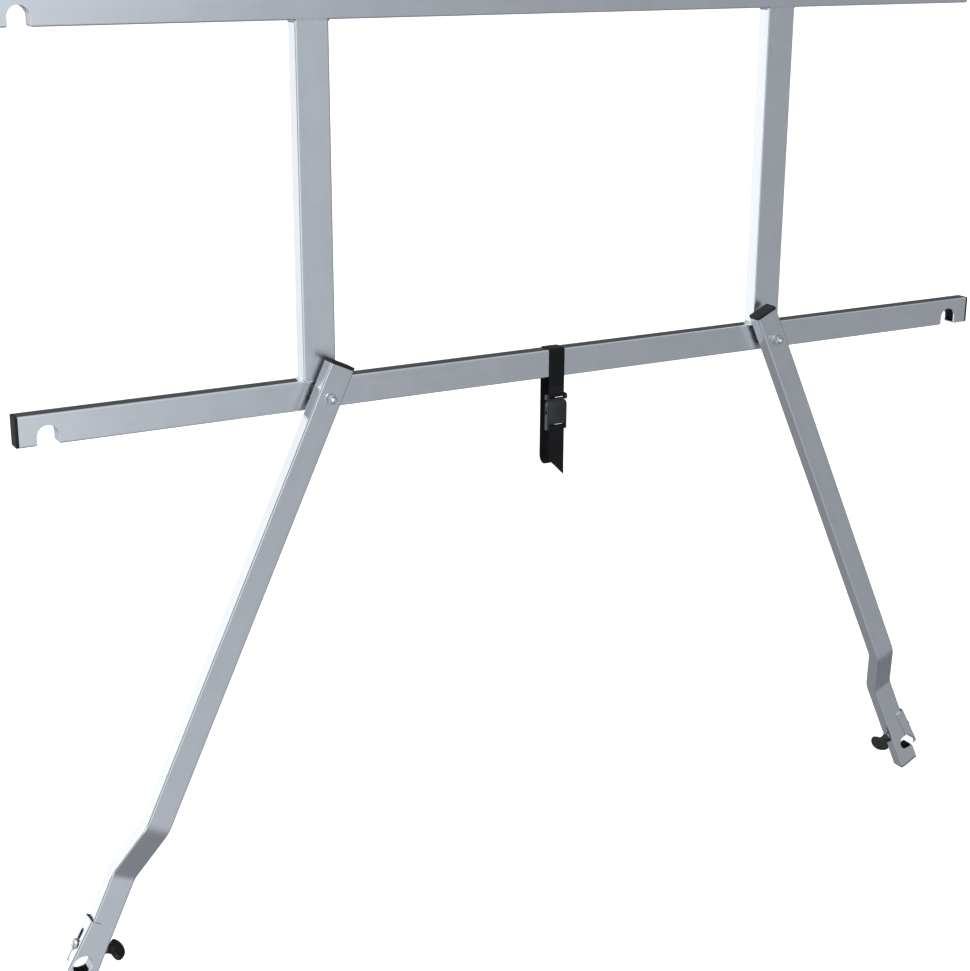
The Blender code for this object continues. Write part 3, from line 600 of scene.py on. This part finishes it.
def strap_path():
    """The strap's middle line in the YZ plane, from its sewn end to where the tail's cut starts."""
    line = [(-0.01155, -0.0296), (-0.01150, -0.0330), (-0.01110, -0.0365), (-0.00960, -0.0402)]
    line += list(reversed(arc(PLUG_BAR, PLUG_BEND, 180, 360, 12)))
    line += [(-STRAP_OUT, z) for z in (-0.038, -0.030, -0.020, -0.010, 0.0, 0.010, 0.020)]
    line += arc((-STRAP_OUT + TOP_BEND, STRAP_TOP - TOP_BEND), TOP_BEND, 180, 90, 7)
    line += arc((STRAP_OUT - TOP_BEND, STRAP_TOP - TOP_BEND), TOP_BEND, 90, 0, 7)
    line += [(STRAP_OUT, z) for z in (0.015, 0.0, -0.02, -0.05, -0.08, -0.11)]
    middle = (STRAP_OUT + LADDER_BAR[0] + LADDER_BEND) / 2
    line += arc((middle, LOOP_BOTTOM), STRAP_OUT - middle, 0, -180, 18)
    line += [(middle - (STRAP_OUT - middle), z) for z in (-0.13, -0.115, -0.10)]
    line += arc(LADDER_BAR, LADDER_BEND, 0, 180, 12)
    line += [(LADDER_BAR[0] - LADDER_BEND, z) for z in (-0.105, -0.12, TAIL_TOP)]
    return [Vector((0, y, z)) for y, z in line]


def resample(points, step):
    """Evenly spaced points along a line of points, and the line's length."""
    lengths = [0.0]
    for a, b in zip(points, points[1:]):
        lengths.append(lengths[-1] + (b - a).length)
    count = max(2, round(lengths[-1] / step))
    found, k = [], 0
    for i in range(count + 1):
        at = lengths[-1] * i / count
        while k < len(points) - 2 and lengths[k + 1] < at:
            k += 1
        t = (at - lengths[k]) / max(lengths[k + 1] - lengths[k], 1e-9)
        found.append(points[k].lerp(points[k + 1], t))
    return found, lengths[-1]


def strap_section():
    """Half thicknesses across the strap: a ribbed face between two thin, rolled edges."""
    half, rolled, count = STRAP_WIDTH / 2, 0.0016, 64
    found = []
    for i in range(count + 1):
        u = -half + STRAP_WIDTH * i / count
        edge = min(1.0, (half - abs(u)) / rolled)
        body = math.sqrt(max(0.0, 1 - (1 - edge) ** 2))
        rib = 0.5 + 0.5 * math.cos(2 * math.pi * u / WEB_RIB)
        found.append((u, STRAP_THICK / 2 * body * (0.86 + 0.14 * rib)))
    return found


def strap_rings():
    """Rings round the strap, how far along it each is (None in the tail), and the rest's length."""
    path, length = resample(strap_path(), 0.0011)
    section = strap_section()
    rings, along = [], []
    for i, p in enumerate(path):
        t = (path[min(i + 1, len(path) - 1)] - path[max(i - 1, 0)]).normalized()
        normal = Vector((0, -t.z, t.y))
        s = length * i / (len(path) - 1)
        wave = 0.00006 * noise.noise(Vector((0, 0, s * 60)))
        upper = [Vector((STRAP_X + u, 0, 0)) + p + normal * (h + wave) for u, h in section]
        lower = [Vector((STRAP_X + u, 0, 0)) + p - normal * (h - wave)
                 for u, h in reversed(section[1:-1])]
        rings.append(upper + lower)
        along.append(s)
    last, steps, lean = rings[-1], 26, 0.0005
    for i in range(1, steps + 1):
        t = i / steps
        ring = []
        for v in last:
            share = (v.x - STRAP_X) / STRAP_WIDTH + 0.5
            end = TAIL_LEFT + (TAIL_RIGHT - TAIL_LEFT) * share
            ring.append(Vector((v.x, v.y - lean * t * t, TAIL_TOP + (end - TAIL_TOP) * t)))
        rings.append(ring)
        along.append(None)
    return rings, along, length


def make_strap():
    rings, along, length = strap_rings()
    mesh = mesh_from("strap_webbing", *skin(rings))
    uv = mesh.uv_layers.new(name="strap")
    count = len(rings[0])
    for loop in mesh.loops:
        v = mesh.vertices[loop.vertex_index].co
        ring = loop.vertex_index // count
        s = along[ring] if along[ring] is not None else length + TAIL_TOP - v.z
        uv.data[loop.index].uv = (v.x - STRAP_X, s)
    obj = settle("strap_webbing", mesh, "strap", "frame", 60,
                 ("strap_front_strand", "strap_loop"))
    stitches = make_stitches()


def make_stitches():
    """A boxed cross of thread where the strap is sewn round the plug's bar."""
    x0, x1, z0, z1 = -0.0105, 0.0105, -0.0385, -0.0305
    pitch, gap, thread = 0.0024, 0.14, 0.00026
    corners = [(x0, z0), (x1, z0), (x1, z1), (x0, z1)]
    runs = list(zip(corners, corners[1:] + corners[:1]))
    runs += [(corners[0], corners[2]), (corners[1], corners[3])]
    face = -STRAP_OUT - STRAP_THICK / 2 - 0.00002
    parts = []
    for a, b in runs:
        a, b = Vector(a), Vector(b)
        count = max(1, round((b - a).length / pitch))
        for i in range(count):
            s, e = a.lerp(b, (i + gap) / count), a.lerp(b, (i + 1 - gap) / count)
            parts.append(capsule((STRAP_X + s.x, face, s.y), (STRAP_X + e.x, face, e.y), thread))
    return build("strap_stitching", *merged(parts), "thread", "frame", "webbing")


# ---------------------------------------------------------------- fasteners

BOLT_RADIUS = 0.004
BOLT_HEAD = 0.0053
BOLT_THREAD = 0.019
THREAD_PITCH, THREAD_DEPTH = 0.00125, 0.00062
POINT_CHAMFER = 0.0011
BOLT_PROUD = 0.0165       # how far the bolt's tip stands ahead of the leg
WASHER = 0.0016
NUT_THICK, NUT_BORE = 0.008, 0.0042
HEX_ACROSS = 0.013


def hexagon(low, high, bore, turn):
    """A chamfered hexagon between two heights on local Z; bore 0 leaves it solid."""
    flat = HEX_ACROSS / 2 * 0.965
    slope = math.tan(math.radians(28))
    start, lead = max(bore, 0.0003), 0.0004
    count = 48
    around = []
    for i in range(count):
        t = 2 * math.pi * i / count
        off = (math.degrees(t + turn) + 30) % 60 - 30
        around.append((t, HEX_ACROSS / 2 / math.cos(math.radians(off))))

    def circle(radius, z):
        return [Vector((radius * math.cos(t), radius * math.sin(t), z)) for t, _ in around]

    def edge(base, sign):
        return [Vector((r * math.cos(t), r * math.sin(t), base + sign * (r - flat) * slope))
                for t, r in around]

    rings = [circle(start, low), circle(flat, low), edge(low, 1), edge(high, -1), circle(flat, high)]
    if not bore:
        return skin(rings + [circle(start, high)])
    return skin(rings + [circle(start + lead, high), circle(start, high - lead), rings[0]], caps=False)


def threaded_rod(start, thread, end):
    """A bolt's shank on local Z, plain from start to thread, with a helical thread up to its end."""
    around = 40
    count = max(2, round((end - thread) / (THREAD_PITCH / 10)))
    rings = []
    for z in [start] + [thread + (end - thread) * i / count for i in range(count + 1)]:
        ring = []
        for k in range(around):
            t = 2 * math.pi * k / around
            phase = (z / THREAD_PITCH - t / (2 * math.pi)) % 1.0
            tooth = min(1.0, max(0.0, (abs(2 * phase - 1) - 0.10) / 0.72))
            cut = THREAD_DEPTH * (1 - tooth) if z > thread else 0.0
            cut *= min(1.0, max(0.0, (z - thread) / THREAD_PITCH))
            radius = min(BOLT_RADIUS - cut, BOLT_RADIUS - POINT_CHAMFER + end - z)
            ring.append(Vector((radius * math.cos(t), radius * math.sin(t), z)))
        rings.append(ring)
    return skin(rings)


def make_fasteners():
    """Each pivot's bolt and nut, on an axis that points out of the frame's front."""
    head = -RAIL_DEPTH / 2 - GAP - WASHER - GAP
    tip = LEG_FRONT + BOLT_PROUD
    seat = LEG_FRONT + GAP + WASHER + GAP
    for side, word in SIDES:
        axis = Matrix.Translation((side * PIVOT.x, 0, PIVOT.z)) @ Matrix.Rotation(
            math.radians(90), 4, "X")
        bolt = merged([hexagon(head - BOLT_HEAD, head, 0, 0.2 * side),
                       threaded_rod(head - 0.001, tip - BOLT_THREAD, tip)])
        build(f"{word}_pivot_bolt_detail", *bolt, "zinc", "frame", "zinc_steel", axis, 40,
              (f"{word}_pivot_bolt",))
        nut = hexagon(seat, seat + NUT_THICK, NUT_BORE, 0.35 * side)
        build(f"{word}_pivot_nut_detail", *nut, "zinc", body_of(NODES[f"{word}_pivot_nut"])[0],
              "zinc_steel", axis, 40, (f"{word}_pivot_nut",))


# ---------------------------------------------------------------- welds

def weld_bead(a, b, out_a, out_b, size, seed):
    """A fillet from a to b in the corner whose two walls run along out_a and out_b."""
    a, b, out_a, out_b = (Vector(v) for v in (a, b, out_a, out_b))
    pitch, sunk, arc_steps = 0.0017, 0.0003, 6
    length = (b - a).length
    count = round(length / 0.00022)
    rings = []
    for i in range(count + 1):
        s = length * i / count
        ripple = (s / pitch + 0.15 * noise.noise(Vector((s * 300, seed, 0)))) % 1.0
        swell = 1.0 + 0.10 * (1 - ripple) ** 2 + 0.05 * noise.noise(Vector((s * 150, seed, 5)))
        taper = min(1.0, (min(s, length - s) + 0.0004) / 0.0016) ** 0.5
        r = size * swell * taper
        p = a.lerp(b, i / count)
        ring = [p - (out_a + out_b) * sunk]
        for k in range(arc_steps + 1):
            t = math.radians(90 * k / arc_steps)
            bulge = 0.80 + 0.20 * abs(math.cos(2 * t))
            ring.append(p + (out_a * math.cos(t) + out_b * math.sin(t)) * r * bulge)
        rings.append(ring)
    return skin(rings)


def weld_seam(a, b, out, across, width, height, seed):
    """A dressed butt weld: a low, wide ridge with worn-down ripples."""
    a, b, out, across = (Vector(v) for v in (a, b, out, across))
    pitch, sunk = 0.0019, 0.0004
    length = (b - a).length
    count = round(length / 0.0003)
    rings = []
    for i in range(count + 1):
        s = length * i / count
        ripple = (s / pitch) % 1.0
        taper = min(1.0, (min(s, length - s) + 0.0005) / 0.002) ** 0.5
        w = width / 2 * (0.9 + 0.2 * noise.noise(Vector((s * 260, seed, 1)))) * taper
        h = height * (0.8 + 0.35 * (1 - ripple) ** 2) * taper
        p = a.lerp(b, i / count)
        ring = [p + across * w * k + out * (h * (1 - k * k) - 0.0001)
                for k in (-1, -0.8, -0.5, -0.2, 0.2, 0.5, 0.8, 1)]
        ring += [p + across * w - out * sunk, p - across * w - out * sunk]
        rings.append(ring)
    return skin(rings)


def make_welds():
    """Fillets on the narrow sides of each upright's ends, and seams on their wide faces."""
    fillet, fillet_inset = 0.0032, 0.0028
    seam_width, seam_height, seam_inset = 0.0030, 0.00022, 0.002
    deep = RAIL_DEPTH / 2 - fillet_inset
    half = UPRIGHT_WIDTH / 2 - seam_inset
    joints = (("lower", RAIL_TOP, 1), ("upper", RAIL_BOTTOM + RAIL_SPACING, -1))
    for side, word in SIDES:
        for row, z, up in joints:
            parts = []
            for edge in (-1, 1):
                x = side * UPRIGHT_X + edge * UPRIGHT_WIDTH / 2
                seed = side * 3.1 + edge * 1.7 + up
                parts.append(weld_bead((x, -deep, z), (x, deep, z), (edge, 0, 0), (0, 0, up),
                                       fillet, seed))
            for face in (-1, 1):
                a = (side * UPRIGHT_X - half, face * RAIL_DEPTH / 2, z)
                b = (side * UPRIGHT_X + half, face * RAIL_DEPTH / 2, z)
                parts.append(weld_seam(a, b, (0, face, 0), (0, 0, 1), seam_width, seam_height,
                                       side + face * 2.3))
            build(f"{row}_{word}_weld", *merged(parts), "weld", "frame", "aluminium", None, 50)


# ---------------------------------------------------------------- notch liners

LINER_THICK = 0.0012


def liner(points, thick, middle_y=0.0):
    """A bent strip of sheet along points (x, z), as deep as the inside of a bar."""
    half = (RAIL_DEPTH - 2 * RAIL_WALL - 0.0004) / 2
    rings = []
    for i, p in enumerate(points):
        ahead, behind = Vector(points[min(i + 1, len(points) - 1)]), Vector(points[max(i - 1, 0)])
        t = (ahead - behind).normalized()
        near = Vector(p)
        far = near + Vector((t.y, -t.x)) * thick
        rings.append([Vector((q.x, middle_y + y * half, q.y))
                      for q, y in ((near, -1), (near, 1), (far, 1), (far, -1))])
    return skin(rings)


def make_liners():
    """Sheet linings inside the notches and claws, which stand for the bar's inner walls."""
    r = NOTCH_RADIUS + GAP
    for row, level in (("lower", 0.0), ("upper", RAIL_SPACING)):
        for side, word in SIDES:
            # as seen from the front at the left end; the right end mirrors it
            points = arc((0, level), r, 100, 0, 18)
            points += [(r, level - 0.004), (r, level - 0.0104)]
            points = [(side * NOTCH_X - side * x, z) for x, z in points]
            build(f"{row}_{word}_hook_liner", *liner(points, LINER_THICK * side), "cut", "frame",
                  "aluminium", None, 40)
    for side, word in SIDES:
        points = [(CLAW_OUT + 0.0078, r)] + arc((CLAW_OUT, 0), r, 90, 205, 20)
        points = [(side * u, w - CLAW_DOWN) for u, w in points]
        build(f"{word}_claw_liner", *liner(points, LINER_THICK * side, FOOT_Y), "cut",
              f"{word}_leg", "aluminium", world_from_pivot(side), 40)


# ---------------------------------------------------------------- thumb knobs

KNOB_TURN = {-1: math.radians(-75), 1: math.radians(85)}
KNOB_SEAT = 0.0022        # from the leg's side to the knob's foot
KNOB_BORE, KNOB_BORE_DEPTH = 0.0059, 0.0120
KNOB_FLUTES, KNOB_FLUTE_DEPTH = 12, 0.00050
WING_HALF, WING_LOW, WING_HIGH, WING_THICK = 0.0210, 0.0166, 0.0315, 0.0085


def knob_wing():
    """A D-shaped wing with rolled edges, a dished face on both sides and five grip ribs."""
    outline = [(WING_HALF * c, WING_LOW + (WING_HIGH - WING_LOW) * s)
               for c, s in arc((0, 0), 1, 0, 180, 40)]
    outline += [(-WING_HALF + 0.0012, WING_LOW - 0.0022), (-WING_HALF + 0.0050, WING_LOW - 0.0050),
                (-0.0095, WING_LOW - 0.0076), (0.0095, WING_LOW - 0.0076),
                (WING_HALF - 0.0050, WING_LOW - 0.0050), (WING_HALF - 0.0012, WING_LOW - 0.0022)]
    middle = WING_LOW + 0.0048
    # from the front face to the back: a share of the thickness, and the outline's size
    dish = ((0.39, 0.66), (0.40, 0.72))
    rim = ((0.5, 0.80), (0.5, 0.90), (0.42, 0.965), (0.2, 0.995))
    front = dish + rim
    stops = [(-y, share) for y, share in front] + list(reversed(front))
    rings = [[Vector((x * share, y * WING_THICK, middle + (z - middle) * share))
              for x, z in outline] for y, share in stops]
    parts = [skin(rings)]
    for face in (-1, 1):
        for k in range(-2, 3):
            x, y = k * 0.0046, face * WING_THICK * 0.40
            top = 0.0082 * math.sqrt(max(0.0, 1 - (x / 0.0135) ** 2))
            parts.append(capsule((x, y, WING_LOW - 0.0010), (x, y, WING_LOW + top), 0.00085))
    return merged(parts)


def knob_stem():
    """The fluted neck between the foot and the wing."""
    profile = [(0.0, 0.0), (0.0084, 0.0), (0.0088, 0.0004), (0.0088, 0.0022), (0.0084, 0.0028),
               (0.0080, 0.0036), (0.0079, 0.0060), (0.0080, 0.0090), (0.0084, 0.0115),
               (0.0080, 0.0140), (0.0062, 0.0168), (0.0, 0.0180)]
    around = 72
    rings = []
    for r, z in profile:
        ring = []
        for k in range(around):
            t = 2 * math.pi * k / around
            flute = 0.5 + 0.5 * math.cos(KNOB_FLUTES * t) if 0.003 < z < 0.0125 else 0.0
            q = max(r - KNOB_FLUTE_DEPTH * flute, 0.0001)
            ring.append(Vector((q * math.cos(t), q * math.sin(t), z)))
        rings.append(ring)
    return skin(rings)


def loose(name, verts, faces):
    """A closed shape to work with, which isn't a piece."""
    mesh = mesh_from(name, verts, faces)
    clean(mesh)
    return linked(name, mesh)


def cut_by(obj, tool, operation):
    cut = obj.modifiers.new("Cut", "BOOLEAN")
    cut.operation = operation
    cut.solver = "EXACT"
    cut.object = tool


def applied(obj, tool):
    """The object's mesh with its modifiers applied; the object and its tool are removed."""
    bpy.context.view_layer.update()
    done = obj.evaluated_get(bpy.context.evaluated_depsgraph_get())
    mesh = bpy.data.meshes.new_from_object(done)
    bpy.data.objects.remove(obj, do_unlink=True)
    bpy.data.objects.remove(tool, do_unlink=True)
    return mesh


def knob_mesh():
    solid = loose("knob_solid", *merged([knob_wing(), knob_stem()]))
    weave = solid.modifiers.new("Remesh", "REMESH")
    weave.mode = "VOXEL"
    weave.voxel_size = 0.00032
    soften = solid.modifiers.new("Smooth", "SMOOTH")
    soften.factor = 0.5
    soften.iterations = 4
    circle = arc((0, 0), KNOB_BORE, 0, 360, 48)[:-1]
    bore = loose("knob_bore", *skin([[Vector((x, y, z)) for x, y in circle]
                                     for z in (-0.002, KNOB_BORE_DEPTH)]))
    cut_by(solid, bore, "DIFFERENCE")
    return applied(solid, bore)


def make_knobs():
    shape = knob_mesh()
    for side, word in SIDES:
        mesh = shape.copy()
        mesh.transform(world_from_pivot(side)
                       @ Matrix.Translation((-side * LEG_WIDTH / 2, FOOT_Y, -CLAMP_DOWN))
                       @ Matrix.Rotation(-side * math.radians(90), 4, "Y")
                       @ Matrix.Translation((0, 0, KNOB_SEAT))
                       @ Matrix.Rotation(KNOB_TURN[side], 4, "Z"))
        settle(f"{word}_knob_detail", mesh, "knob", f"{word}_knob", 55,
               (f"{word}_thumb_knob",))


# ---------------------------------------------------------------- buckle

SOCKET_HALF = 0.0184
SOCKET_TOP, SOCKET_MIDDLE, SOCKET_BOTTOM = -0.0501, -0.0750, -0.1010
SOCKET_FRONT = BUCKLE_Y - 0.0044
PLUG_FRONT = BUCKLE_Y - 0.0033


def make_buckle_body():
    """The socket with rounded shoulders and softened edges."""
    # one shoulder, from its side to its top: a share of the half width, and a height
    shoulder = ((1, -0.0600), (0.985, -0.0572), (0.95, -0.0549), (0.89, -0.0530), (0.81, -0.0516),
                (0.72, -0.0507), (0.62, SOCKET_TOP))
    outline = [(-SOCKET_HALF, SOCKET_BOTTOM)]
    outline += [(-SOCKET_HALF * share, z) for share, z in shoulder]
    outline += [(SOCKET_HALF * share, z) for share, z in reversed(shoulder)]
    outline += [(SOCKET_HALF, SOCKET_BOTTOM)]
    # its edge, from one face to the middle: a depth, and how far the outline is drawn in
    edge = ((0.0060, 0.0022), (0.0044, 0.0013), (0.0040, 0.0006), (0.0034, 0.0001), (0.0028, 0.0))
    rings = []
    for y, inset in [(-y, inset) for y, inset in edge] + list(reversed(edge)):
        share = 1 - inset / SOCKET_HALF
        rings.append([Vector((STRAP_X + x * share, BUCKLE_Y + y,
                              SOCKET_MIDDLE + (z - SOCKET_MIDDLE) * share)) for x, z in outline])
    envelope = loose("socket_envelope", *skin(rings))
    socket = linked("socket_body", NODES["buckle_socket"].data.copy())
    cut_by(socket, envelope, "INTERSECT")
    settle("buckle_socket_body", applied(socket, envelope), "buckle", "frame", 25,
           ("buckle_socket",))


def bar_across(half, y, z, radius):
    return capsule((STRAP_X - half, y, z), (STRAP_X + half, y, z), radius)


def bar_down(x, y, high, low, radius):
    return capsule((STRAP_X + x, y, high), (STRAP_X + x, y, low), radius)


def make_buckle_details():
    """Raised panel, ribs and edges on the socket and plug, the slot's lip and the arms' grips."""
    panel = [(STRAP_X + x, z) for x, z in rounded_box(-0.0148, 0.0148, -0.0846, -0.0560, 0.0030)]
    parts = [bevelled_panel(panel, SOCKET_FRONT + 0.0003, SOCKET_FRONT - 0.00055, 0.0010)]
    for k in range(3):
        parts.append(bar_across(0.0100, SOCKET_FRONT - 0.0004, -0.0632 - 0.0048 * k, 0.00062))
    parts.append(bar_across(0.0150, SOCKET_FRONT + 0.0002, -0.0520, 0.0007))
    for x in (-0.0172, 0.0172):
        parts.append(bar_down(x, SOCKET_FRONT + 0.0003, -0.0890, -0.0968, 0.0006))
    build("buckle_socket_detail", *merged(parts), "buckle", "frame", "buckle_plastic", None, 40)

    # the lip's section, from its upper front edge round to its upper back edge
    section = ((-0.0034, -0.0876), (-0.0038, -0.0884), (-0.0038, -0.0896), (-0.0030, -0.0902),
               (0.0030, -0.0902), (0.0038, -0.0896), (0.0038, -0.0884), (0.0034, -0.0876))
    lip = skin([[Vector((STRAP_X + x, BUCKLE_Y + y, z)) for y, z in section]
                for x in (-0.0146, 0.0146)])
    build("buckle_slot_lip", *lip, "buckle", "frame", "buckle_plastic", None, 40)

    parts = [bar_across(0.0160, PLUG_FRONT + 0.0001, -0.0492, 0.0005)]
    for x in (-0.0170, 0.0170):
        parts.append(bar_down(x, PLUG_FRONT + 0.0002, -0.0425, -0.0470, 0.0006))
    build("buckle_plug_detail", *merged(parts), "buckle", "frame", "buckle_plastic", None, 40)

    for side, word in SIDES:
        x = STRAP_X + side * 0.01885
        parts = []
        for k in range(4):
            z = -0.0626 - 0.0014 * k
            parts.append(capsule((x, BUCKLE_Y - 0.0017, z), (x, BUCKLE_Y + 0.0017, z), 0.0004))
        build(f"{word}_prong_grip", *merged(parts), "buckle", f"{word}_prong", "buckle_plastic",
              None, 40)


make_camera()
make_world()
make_floor()
make_lamp()
MATERIALS = make_materials()
dress_nodes()
make_strap()
make_buckle_body()
make_buckle_details()
make_fasteners()
make_knobs()
make_welds()
make_liners()
